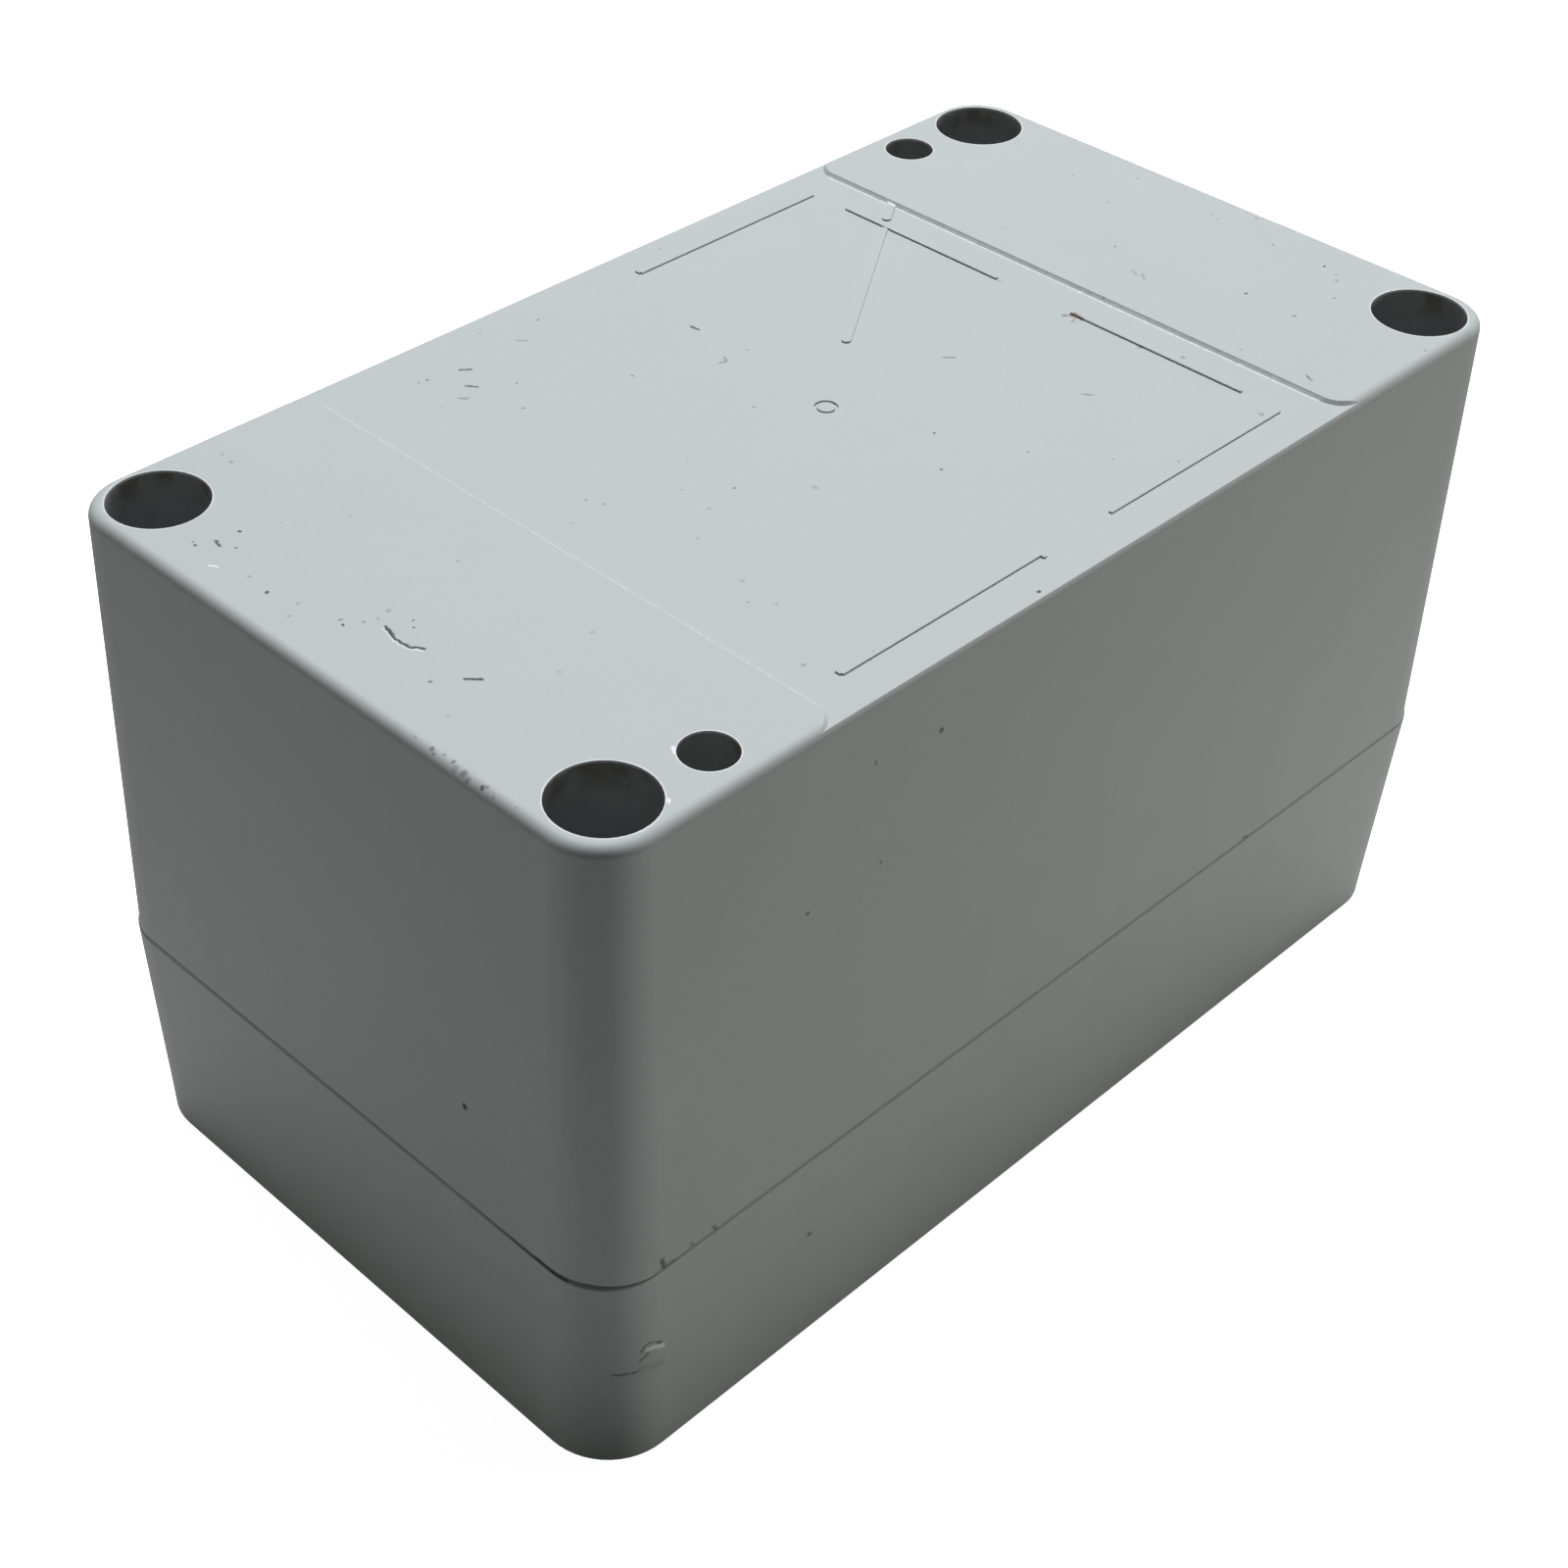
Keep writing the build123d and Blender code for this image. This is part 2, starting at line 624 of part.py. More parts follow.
def make_contact_block(x, name, opens_when_pressed):
    """One contact block, with its bridge under the strips, or on them if it opens."""
    with BuildPart() as housing:
        with BuildSketch(Plane((x, 0, block_bottom))):
            Rectangle(block_width, block_length)
        extrude(amount=block_height)
        chamfer(housing.faces().sort_by(Axis.Z)[-1].edges(), block_edge)
        # chamber for the bridge, open towards the carrier
        with BuildSketch(Plane((x, 0, block_bottom))):
            Rectangle(block_width - 2 * block_wall, chamber_length)
        extrude(amount=chamber_height, mode=Mode.SUBTRACT)
        # terminal pockets, open on top and at the ends
        with BuildSketch(Plane((x, 0, strip_bottom))):
            with GridLocations(0, 2 * terminal_y, 1, 2):
                Rectangle(block_width - 2 * block_wall, pocket_length)
        extrude(amount=block_top - strip_bottom, mode=Mode.SUBTRACT)
        with BuildSketch(Plane((x, 0, strip_bottom))):
            Rectangle(strip_slot, block_length)
        extrude(amount=strip_thickness + 2 * terminal_head_height, mode=Mode.SUBTRACT)
        with BuildSketch(Plane((x, 0, strip_bottom))):
            with GridLocations(0, 2 * terminal_y, 1, 2):
                Circle(terminal_screw_radius + thread_clearance)
        extrude(amount=-terminal_depth, mode=Mode.SUBTRACT)
    save(housing, f"contact_block_{name}")

    # fixed strips, from the bridge out to the terminals
    strip_length = strip_end - strip_tip
    with BuildPart() as strips:
        with BuildSketch(Plane((x, 0, strip_bottom))):
            with GridLocations(0, strip_tip + strip_end, 1, 2):
                Rectangle(strip_width, strip_length)
            with GridLocations(0, 2 * terminal_y, 1, 2):
                Circle(terminal_screw_radius + thread_clearance, mode=Mode.SUBTRACT)
        extrude(amount=strip_thickness)
    save(strips, f"contact_strips_{name}")

    bridge_bottom = strip_top + contact_gap
    if not opens_when_pressed:
        bridge_bottom = strip_bottom - contact_gap - button_travel - bridge_thickness
    with BuildPart() as bridge:
        with BuildSketch(Plane((x, 0, bridge_bottom))):
            Rectangle(strip_width, bridge_length)
            Circle(plunger_radius, mode=Mode.SUBTRACT)
        extrude(amount=bridge_thickness)
    save(bridge, f"contact_bridge_{name}")

    with BuildPart() as contact_plunger:
        with BuildSketch(Plane((x, 0, bar_top))):
            Circle(plunger_radius)
        extrude(amount=block_bottom + plunger_top - bar_top)
    save(contact_plunger, f"contact_plunger_{name}")


def make_terminal_screws(x, name):
    """The two terminal screws of a contact block, each with its clamp plate."""
    with BuildPart() as screws:
        places = [(x, -terminal_y), (x, terminal_y)]
        with BuildSketch(Plane.XY.offset(strip_top)):
            with Locations(*places):
                Rectangle(2 * terminal_head_radius, pocket_length - contact_gap)
        extrude(amount=clamp_plate)
        with BuildSketch(Plane.XY.offset(strip_top + clamp_plate)):
            with Locations(*places):
                Circle(terminal_head_radius)
        extrude(amount=terminal_head_height)
        with BuildSketch(Plane.XY.offset(strip_top)):
            with Locations(*places):
                Circle(terminal_screw_radius)
        extrude(amount=-strip_thickness - terminal_depth + rest_gap)
        with BuildSketch(Plane.XY.offset(strip_top + clamp_plate + terminal_head_height)):
            with Locations(*places):
                Rectangle(driver_slot, 2 * terminal_head_radius)
        extrude(amount=-terminal_head_height / 2, mode=Mode.SUBTRACT)
    save(screws, f"terminal_screws_{name}")


for button_number, button_x in enumerate(button_places, 1):
    make_push_button(button_x, button_number)
    for side, contact in ((-1, "make"), (1, "break")):
        block_x = button_x + side * block_offset
        block_name = f"{contact}_{button_number}"
        make_contact_block(block_x, block_name, contact == "break")
        make_terminal_screws(block_x, block_name)
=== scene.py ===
import bmesh
import bpy
from math import radians, sqrt
from mathutils import Matrix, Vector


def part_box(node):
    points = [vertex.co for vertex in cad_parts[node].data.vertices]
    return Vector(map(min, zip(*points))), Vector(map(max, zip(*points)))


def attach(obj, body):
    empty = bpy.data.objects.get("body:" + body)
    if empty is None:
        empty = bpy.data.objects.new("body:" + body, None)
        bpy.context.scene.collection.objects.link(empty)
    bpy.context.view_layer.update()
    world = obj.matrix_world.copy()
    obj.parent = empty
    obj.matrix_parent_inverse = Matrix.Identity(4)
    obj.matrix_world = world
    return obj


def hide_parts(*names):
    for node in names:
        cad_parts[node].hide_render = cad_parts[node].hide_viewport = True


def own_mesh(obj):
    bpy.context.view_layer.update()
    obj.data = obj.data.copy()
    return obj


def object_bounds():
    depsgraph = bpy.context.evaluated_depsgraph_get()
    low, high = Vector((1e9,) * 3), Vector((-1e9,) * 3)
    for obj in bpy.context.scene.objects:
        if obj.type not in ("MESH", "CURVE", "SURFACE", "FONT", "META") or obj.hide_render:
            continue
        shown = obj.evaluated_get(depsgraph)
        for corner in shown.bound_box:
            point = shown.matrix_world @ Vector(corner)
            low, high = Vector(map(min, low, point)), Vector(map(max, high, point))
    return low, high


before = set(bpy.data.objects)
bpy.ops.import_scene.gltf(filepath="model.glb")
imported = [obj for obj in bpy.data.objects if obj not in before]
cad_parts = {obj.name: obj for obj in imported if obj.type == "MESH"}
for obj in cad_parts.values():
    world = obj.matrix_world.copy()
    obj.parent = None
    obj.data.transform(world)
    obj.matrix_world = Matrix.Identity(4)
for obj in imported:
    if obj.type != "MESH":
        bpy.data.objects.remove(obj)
cad_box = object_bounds()
mm = 0.001

# Camera, where the photograph was taken from: above the near corner of the back. Its
# place, turn and lens were solved from the outlines of the mouldings and the holes' rims.
photo_size = 1600
sensor_width = 36.0
focal_length_in_pixels = 2683.12
lens_axis_in_photo = (713.58, 882.91)
camera_place = (-0.186471, -0.166798, 0.233870)
camera_turn = (49.30576, -0.81605, -44.56006)

camera_data = bpy.data.cameras.new("camera")
camera_data.sensor_width = sensor_width
camera_data.lens = focal_length_in_pixels / photo_size * sensor_width
camera_data.shift_x = 0.5 - lens_axis_in_photo[0] / photo_size
camera_data.shift_y = lens_axis_in_photo[1] / photo_size - 0.5
camera_data.clip_start = 0.01
camera = bpy.data.objects.new("camera", camera_data)
camera.location = camera_place
camera.rotation_euler = [radians(angle) for angle in camera_turn]
bpy.context.collection.objects.link(camera)
bpy.context.scene.camera = camera

# Studio floor: a pale sheet that runs out of view on every side. It looks pale to the camera, and throws
# light back only near the object:
# farther out it is painted dark to all other rays, painted shade standing in for black flags.
# It is clear from below and open under the lid, so that the lid's face can be seen and lit.
floor_reach = 12.0
floor_drop = 0.1 * mm
floor_pale = (0.95, 0.95, 0.945, 1)
floor_open = (0.52, 0.52, 0.495, 1)
floor_painted_shade = (0.12, 0.12, 0.115, 1)
painted_shade_from = 0.17
painted_shade_to = 0.27
floor_glow = (0.90, 0.90, 0.90, 1)
unlit = (0.0, 0.0, 0.0, 1)
opening_inset = 0.8 * mm
opening_corner = 8.1 * mm
paper_grain = 40.0
paper_relief = 0.02
paper_depth = 1.0 * mm


def add(tree, kind, inputs=None, **properties):
    """Adds a node to a shader tree. An input takes a plain value or another node's output."""
    made = tree.nodes.new(kind)
    for name, value in properties.items():
        setattr(made, name, value)
    for name, value in (inputs or {}).items():
        if isinstance(value, bpy.types.NodeSocket):
            tree.links.new(value, made.inputs[name])
        else:
            made.inputs[name].default_value = value
    return made


def new_material(name):
    """An empty material with one Principled shader: returns it, its tree, shader and place."""
    material = bpy.data.materials.new(name)
    material.use_nodes = True
    tree = material.node_tree
    tree.nodes.clear()
    shader = tree.nodes.new("ShaderNodeBsdfPrincipled")
    add(tree, "ShaderNodeOutputMaterial", {"Surface": shader.outputs["BSDF"]})
    place = tree.nodes.new("ShaderNodeTexCoord").outputs["Object"]
    return material, tree, shader, place


def mix(tree, factor, first, second):
    """The colour between two colours."""
    return add(tree, "ShaderNodeMix", {"Factor": factor, "A": first, "B": second},
               data_type="RGBA").outputs["Result"]


def calc(tree, operation, *values, clamp=False):
    """One sum, product or the like of values and outputs."""
    made = add(tree, "ShaderNodeMath", dict(enumerate(values)), operation=operation, use_clamp=clamp)
    return made.outputs["Value"]


def vector_math(tree, operation, *values):
    """One sum, product or length of vectors."""
    return add(tree, "ShaderNodeVectorMath", dict(enumerate(values)), operation=operation).outputs


floor_mesh = bpy.data.meshes.new("floor")
floor = bpy.data.objects.new("floor", floor_mesh)
bpy.context.collection.objects.link(floor)
shape = bmesh.new()
bmesh.ops.create_grid(shape, x_segments=1, y_segments=1, size=floor_reach)
bmesh.ops.translate(shape, verts=shape.verts, vec=(0, 0, -floor_drop))
shape.to_mesh(floor_mesh)
shape.free()

floor_material, tree, shader, place = new_material("pale_floor")
paper = add(tree, "ShaderNodeTexNoise", {"Vector": place, "Scale": paper_grain, "Detail": 4.0})
bump = add(tree, "ShaderNodeBump",
           {"Height": paper.outputs["Fac"], "Strength": paper_relief, "Distance": paper_depth})
seen = tree.nodes.new("ShaderNodeLightPath").outputs["Is Camera Ray"]
out_from_object = vector_math(tree, "LENGTH", place)["Value"]
painted_shade_share = add(tree, "ShaderNodeMapRange",
              {"Value": out_from_object, "From Min": painted_shade_from, "From Max": painted_shade_to}).outputs["Result"]
# painted shade: to rays other than the camera's, the floor turns dark farther out from the object
thrown_back = mix(tree, painted_shade_share, floor_open, floor_painted_shade)
tree.links.new(mix(tree, seen, thrown_back, floor_pale), shader.inputs["Base Color"])
tree.links.new(mix(tree, seen, unlit, floor_glow), shader.inputs["Emission Color"])
tree.links.new(bump.outputs["Normal"], shader.inputs["Normal"])
shader.inputs["Emission Strength"].default_value = 1.0
shader.inputs["Roughness"].default_value = 0.9
shader.inputs["Specular IOR Level"].default_value = 0.1
# the opening has the outline of the lid's face: straight sides and rounded corners
arc_x, arc_y = (side - opening_inset - opening_corner for side in cad_box[1][:2])
past_arc = vector_math(tree, "SUBTRACT", vector_math(tree, "ABSOLUTE", place)["Vector"], (arc_x, arc_y, mm))
past_arc = vector_math(tree, "MAXIMUM", past_arc["Vector"], (0, 0, 0))
from_arc = vector_math(tree, "LENGTH", past_arc["Vector"])["Value"]
under_lid = calc(tree, "LESS_THAN", from_arc, opening_corner)
from_below = tree.nodes.new("ShaderNodeNewGeometry").outputs["Backfacing"]
clear = tree.nodes.new("ShaderNodeBsdfTransparent").outputs["BSDF"]
sheet = add(tree, "ShaderNodeMixShader",
            {0: calc(tree, "MAXIMUM", from_below, under_lid), 1: shader.outputs["BSDF"], 2: clear})
tree.links.new(sheet.outputs["Shader"], tree.nodes["Material Output"].inputs["Surface"])
floor_mesh.materials.append(floor_material)

# Studio light: a wide soft box overhead, one behind each end, which leave the near corner
# darker than both walls beside it, and one below, which lights the lid's face through the
# floor's opening. The room is dim, and white only to the camera.
room_light = (0.80, 0.82, 0.80)
room_strength = 0.10
room_white = (1.0, 1.0, 1.0, 1)
soft_boxes = [
    # name, place, size in metres, power in watts, colour
    ("soft_box_overhead", (0.95, 0.75, 2.10), 1.50, 75.0, (0.946, 0.965, 1.0)),
    ("soft_box_left", (-0.52, 0.62, 0.12), 0.20, 0.57, (1.0, 0.99, 0.93)),
    ("soft_box_right", (0.62, -0.52, 0.12), 0.20, 1.63, (1.0, 0.99, 0.93)),
    ("soft_box_below", (-0.55, -0.35, -0.90), 0.70, 9.0, (1.0, 0.99, 0.97)),
]

world = bpy.data.worlds.new("room")
world.use_nodes = True
room = world.node_tree
seen = room.nodes.new("ShaderNodeLightPath").outputs["Is Camera Ray"]
dim = (*[part * room_strength for part in room_light], 1)
room.links.new(mix(room, seen, dim, room_white), room.nodes["Background"].inputs["Color"])
room.nodes["Background"].inputs["Strength"].default_value = 1.0
bpy.context.scene.world = world
bpy.context.scene.view_settings.view_transform = "Standard"

middle = (cad_box[0] + cad_box[1]) / 2
for name, place_of_box, size, power, colour in soft_boxes:
    lamp = bpy.data.lights.new(name, "AREA")
    lamp.shape = "DISK"
    lamp.size = size
    lamp.energy = power
    lamp.color = colour
    soft_box = bpy.data.objects.new(name, lamp)
    soft_box.location = place_of_box
    soft_box.rotation_euler = (middle - soft_box.location).to_track_quat("-Z", "Y").to_euler()
    bpy.context.collection.objects.link(soft_box)

# Base: the deep moulding, of light grey polyester filled with short glass fibre. It is
# moulded in one shot. Its skin is matt, and its back is flecked, scratched and chipped.
back_level = 86.0
field_level = 85.6
seam_level = 30.0
core_radius = 5.5
core_places = [(x, y) for x in (-64.1, 64.1) for y in (-33.4, 33.4)]
mount_radius = 3.0
mount_places = [(-52.5, -35.0), (52.5, 35.0)]
skin_depth = 0.02 * mm
chip_depth = 0.08 * mm
ragged_by = 0.3 * mm
fleck_strength = 0.7
shade_in_holes = 0.34
rub_strength = 0.6
rim_highlight_strength = 0.65
polyester_colour = (0.46, 0.490, 0.485, 1)
dark_dirt_and_shade = (0.045, 0.042, 0.038, 1)
brown_dirt = (0.17, 0.125, 0.085, 1)
bare_chip_and_highlight = (0.86, 0.88, 0.89, 1)


def new_group(name, inputs, outputs):
    """Starts a shader group: returns it with its input and output nodes."""
    group = bpy.data.node_groups.new(name, "ShaderNodeTree")
    for label, kind, value in inputs:
        group.interface.new_socket(label, in_out="INPUT", socket_type=kind).default_value = value
    for label, kind in outputs:
        group.interface.new_socket(label, in_out="OUTPUT", socket_type=kind)
    given = group.nodes.new("NodeGroupInput").outputs
    return group, given, group.nodes.new("NodeGroupOutput").inputs


def use_group(tree, group, inputs):
    """Places a shader group in a tree, fills its inputs and returns its outputs."""
    made = tree.nodes.new("ShaderNodeGroup")
    made.node_tree = group
    for name, value in inputs.items():
        if isinstance(value, bpy.types.NodeSocket):
            tree.links.new(value, made.inputs[name])
        else:
            made.inputs[name].default_value = value
    return made.outputs


def fade(tree, value, full, none):
    """1 where value is at full, 0 where it is at none, with a smooth step between."""
    return add(tree, "ShaderNodeMapRange",
               {"Value": value, "From Min": full, "From Max": none, "To Min": 1.0, "To Max": 0.0},
               interpolation_type="SMOOTHSTEP").outputs["Result"]


def slope(tree, value, full, none, height):
    """As fade, but height at full, and a straight slope between."""
    return add(tree, "ShaderNodeMapRange",
               {"Value": value, "From Min": full, "From Max": none, "To Min": height, "To Max": 0.0}
               ).outputs["Result"]


def hand_on(tree, place, mark):
    """The place, unchanged but for rounding. Whatever uses it is worked out after the mark, as
    the renderer has too little memory for one shader to hold all of its marks at once."""
    hardly_any = 1e-7
    scale = calc(tree, "MULTIPLY_ADD", mark, hardly_any, 1.0)
    return add(tree, "ShaderNodeVectorMath", {0: place, "Scale": scale}, operation="SCALE").outputs["Vector"]


vector, colour, number = "NodeSocketVector", "NodeSocketColor", "NodeSocketFloat"

# how far colour and gloss wander over any moulded or metal face
surface_group, given, result = new_group(
    "fine_surface",
    [("Place", vector, (0, 0, 0)), ("Color", colour, (0.5, 0.5, 0.5, 1)), ("Roughness", number, 0.5),
     ("Cloud Scale", number, 60.0), ("Grain Scale", number, 1500.0), ("Color Spread", number, 0.03),
     ("Roughness Spread", number, 0.05)],
    [("Color", colour), ("Roughness", number), ("Height", number)])
cloud = add(surface_group, "ShaderNodeTexNoise",
            {"Vector": given["Place"], "Scale": given["Cloud Scale"], "Detail": 4.0}).outputs["Fac"]
grain = add(surface_group, "ShaderNodeTexNoise",
            {"Vector": given["Place"], "Scale": given["Grain Scale"], "Detail": 2.0}).outputs["Fac"]
centred = calc(surface_group, "SUBTRACT", calc(surface_group, "ADD", cloud, grain), 1.0)
lightness = calc(surface_group, "MULTIPLY_ADD", centred, given["Color Spread"], 1.0)
shaded = add(surface_group, "ShaderNodeHueSaturation", {"Color": given["Color"], "Value": lightness})
gloss = calc(surface_group, "MULTIPLY_ADD", centred, given["Roughness Spread"], given["Roughness"])
surface_group.links.new(shaded.outputs["Color"], result["Color"])
surface_group.links.new(gloss, result["Roughness"])
surface_group.links.new(grain, result["Height"])

# small specks scattered over a face, most cells of the pattern left empty
fleck_group, given, result = new_group(
    "flecks",
    [("Place", vector, (0, 0, 0)), ("Scale", number, 200.0), ("Size", number, 0.05), ("Share", number, 0.2)],
    [("Mask", number)])
cells = add(fleck_group, "ShaderNodeTexVoronoi", {"Vector": given["Place"], "Scale": given["Scale"]})
chance = add(fleck_group, "ShaderNodeSeparateColor", {"Color": cells.outputs["Color"]}).outputs
chosen = calc(fleck_group, "LESS_THAN", chance["Red"], given["Share"])
reach = calc(fleck_group, "MULTIPLY", chance["Green"], given["Size"])
inside = calc(fleck_group, "MULTIPLY", fade(fleck_group, cells.outputs["Distance"], 0.0, reach), chosen)
fleck_group.links.new(calc(fleck_group, "MULTIPLY", inside, chance["Blue"]), result["Mask"])

# one round mark, added to the marks before it
spot_group, given, result = new_group(
    "spot_mark",
    [("Before", number, 0.0), ("Place", vector, (0, 0, 0)), ("Centre", vector, (0, 0, 0)),
     ("Radius", number, 0.0003), ("Strength", number, 1.0)],
    [("Mask", number)])
away = vector_math(spot_group, "DISTANCE", given["Place"], given["Centre"])["Value"]
inner = calc(spot_group, "MULTIPLY", given["Radius"], 0.5)
spot = slope(spot_group, away, inner, given["Radius"], given["Strength"])
spot_group.links.new(calc(spot_group, "MAXIMUM", given["Before"], spot), result["Mask"])

# one straight mark from start to end, added to the marks before it
stroke_group, given, result = new_group(
    "stroke_mark",
    [("Before", number, 0.0), ("Place", vector, (0, 0, 0)), ("Start", vector, (0, 0, 0)),
     ("End", vector, (0, 0, 0)), ("Width", number, 0.0002), ("Strength", number, 1.0)],
    [("Mask", number)])
run = vector_math(stroke_group, "SUBTRACT", given["End"], given["Start"])["Vector"]
out = vector_math(stroke_group, "SUBTRACT", given["Place"], given["Start"])["Vector"]
along = calc(stroke_group, "DIVIDE", vector_math(stroke_group, "DOT_PRODUCT", out, run)["Value"],
             vector_math(stroke_group, "DOT_PRODUCT", run, run)["Value"], clamp=True)
foot = add(stroke_group, "ShaderNodeVectorMath", {0: run, "Scale": along}, operation="SCALE")
away = vector_math(stroke_group, "DISTANCE", out, foot.outputs["Vector"])["Value"]
inner = calc(stroke_group, "MULTIPLY", given["Width"], 0.3)
stroke = slope(stroke_group, away, inner, given["Width"], given["Strength"])
stroke_group.links.new(calc(stroke_group, "MAXIMUM", given["Before"], stroke), result["Mask"])

# one upright hole: a lighter ring round its rim, painted as a highlight, the painted shade inside it, and the
# dirt rubbed on under its rim
hole_group, given, result = new_group(
    "hole_highlight_and_shade",
    [("Rim Before", number, 0.0), ("Inside Before", number, 0.0), ("Place", vector, (0, 0, 0)),
     ("Centre", vector, (0, 0, 0)), ("Radius", number, 0.005)],
    [("Rim", number), ("Inside", number)])
out = vector_math(hole_group, "SUBTRACT", given["Place"], given["Centre"])["Vector"]
across = vector_math(hole_group, "MULTIPLY", out, (1, 1, 0))["Vector"]
from_axis = vector_math(hole_group, "LENGTH", across)["Value"]
past_wall = calc(hole_group, "SUBTRACT", from_axis, given["Radius"])
depth = calc(hole_group, "MULTIPLY", add(hole_group, "ShaderNodeSeparateXYZ", {0: out}).outputs["Z"], -1.0)
on_top = fade(hole_group, depth, 0.1 * mm, 0.4 * mm)
rim_noise = add(hole_group, "ShaderNodeTexNoise", {"Vector": given["Place"], "Scale": 420.0, "Detail": 2.0})
highlight_width = calc(hole_group, "MULTIPLY", rim_noise.outputs["Fac"], 0.45 * mm)
rim = calc(hole_group, "MULTIPLY", fade(hole_group, past_wall, 0.0, highlight_width), on_top)
inside = calc(hole_group, "MULTIPLY", fade(hole_group, past_wall, 0.05 * mm, 0.1 * mm),
              fade(hole_group, depth, 0.3 * mm, 0.1 * mm))
hole_group.links.new(calc(hole_group, "MAXIMUM", given["Rim Before"], rim), result["Rim"])
hole_group.links.new(calc(hole_group, "MAXIMUM", given["Inside Before"], inside), result["Inside"])


def spots(tree, place, marks, before=0.0, level=None):
    """Round marks from lines of (x, y, z, radius, strength) in mm. Without z they lie at one level."""
    place = hand_on(tree, place, before)
    for mark in marks:
        centre, (radius, strength) = mark[:-2], mark[-2:]
        if level is not None:
            centre = (*centre, level)
        before = use_group(tree, spot_group, {
            "Before": before, "Place": place, "Centre": [c * mm for c in centre], "Radius": radius * mm,
            "Strength": strength})["Mask"]
    return before


def strokes(tree, place, marks, before=0.0):
    """Marks along a run of points, from lines of (points, width, strength) in mm."""
    for points, width, strength in marks:
        place = hand_on(tree, place, before)
        for start, end in zip(points, points[1:]):
            before = use_group(tree, stroke_group, {
                "Before": before, "Place": place, "Start": [c * mm for c in start],
                "End": [c * mm for c in end], "Width": width * mm, "Strength": strength})["Mask"]
    return before


def at(level, *points):
    """Points that lie at one level."""
    return [(x, y, level) for x, y in points]


def dress(names, material):
    """Gives CAD nodes a material in place of their plain one."""
    for name in names:
        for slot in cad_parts[name].material_slots:
            slot.material = material


def moulded_polyester(name):
    """Starts a moulding's material, and returns what its marks and finish are laid on."""
    material, tree, shader, place = new_material(name)
    face = use_group(tree, surface_group,
                     {"Place": place, "Color": polyester_colour, "Roughness": 0.62, "Color Spread": 0.075,
                      "Roughness Spread": 0.12, "Cloud Scale": 90.0, "Grain Scale": 1400.0})
    flecks = use_group(tree, fleck_group, {"Place": place, "Scale": 160.0, "Size": 0.07, "Share": 0.25})
    speckled = mix(tree, calc(tree, "MULTIPLY", flecks["Mask"], fleck_strength), face["Color"], dark_dirt_and_shade)
    wander = add(tree, "ShaderNodeTexNoise", {"Vector": place, "Scale": 1800.0, "Detail": 0.0})
    shift = vector_math(tree, "SUBTRACT", wander.outputs["Color"], (0.5, 0.5, 0.5))["Vector"]
    shift = add(tree, "ShaderNodeVectorMath", {0: shift, "Scale": ragged_by}, operation="SCALE")
    ragged = vector_math(tree, "ADD", place, shift.outputs["Vector"])["Vector"]
    shader.inputs["Specular IOR Level"].default_value = 0.35
    return material, tree, shader, place, ragged, speckled, face


def finish_moulding(tree, shader, face, painted, chips_and_highlights):
    """Ends a moulding's material: its colour, the relief of its skin, and a hollow under each lighter mark,
    bare chip and painted highlight alike.
    """
    skin = add(tree, "ShaderNodeBump", {"Height": face["Height"], "Strength": 0.35, "Distance": skin_depth})
    dents = add(tree, "ShaderNodeBump", {"Height": calc(tree, "SUBTRACT", 1.0, chips_and_highlights), "Strength": 0.5,
                                         "Distance": chip_depth, "Normal": skin.outputs["Normal"]})
    tree.links.new(painted, shader.inputs["Base Color"])
    tree.links.new(face["Roughness"], shader.inputs["Roughness"])
    tree.links.new(dents.outputs["Normal"], shader.inputs["Normal"])


material, tree, shader, place, ragged, painted, face = moulded_polyester("base_polyester")

# near pad: a curved scratch, cuts and specks
pad_specks = [
    # x, y, radius, strength
    (-61.6, 23.0, 0.30, 1.0), (-64.4, 23.1, 0.30, 0.9), (-64.6, 22.5, 0.25, 0.9), (-66.2, 24.6, 0.20, 0.7),
    (-66.4, 24.0, 0.30, 0.9), (-63.7, 20.9, 0.22, 0.8), (-66.2, 12.5, 0.30, 0.9), (-64.3, 3.2, 0.28, 0.9),
    (-58.9, -0.9, 0.20, 0.8), (-59.6, -1.8, 0.20, 0.8), (-64.0, -9.6, 0.25, 0.7), (-65.8, 15.9, 0.30, 0.35),
    (-67.1, 7.9, 0.25, 0.4), (-65.2, 9.0, 0.25, 0.3), (-63.9, 4.0, 0.30, 0.4), (-62.5, 2.2, 0.30, 0.35),
    (-59.6, 2.0, 0.35, 0.3), (-61.1, 1.6, 0.25, 0.35), (-66.3, -14.8, 0.25, 0.3), (-54.4, 34.0, 0.35, 0.4),
    (-54.2, 35.8, 0.25, 0.3), (-49.1, 3.8, 0.25, 0.3), (-51.8, 17.5, 0.30, 0.2), (-57.7, 21.4, 0.20, 0.3),
    (-47.7, -14.2, 0.25, 0.3), (-54.2, -16.8, 0.30, 0.25),
]
pad_strokes = [
    (at(back_level, (-61.4, 0.2), (-62.1, -2.2), (-61.9, -4.0), (-61.1, -5.2)), 0.27, 1.0),
    (at(back_level, (-61.5, -11.5), (-60.7, -12.2), (-60.3, -12.6)), 0.26, 0.95),
    (at(back_level, (-64.5, 23.2), (-64.7, 22.2)), 0.25, 0.9),
]
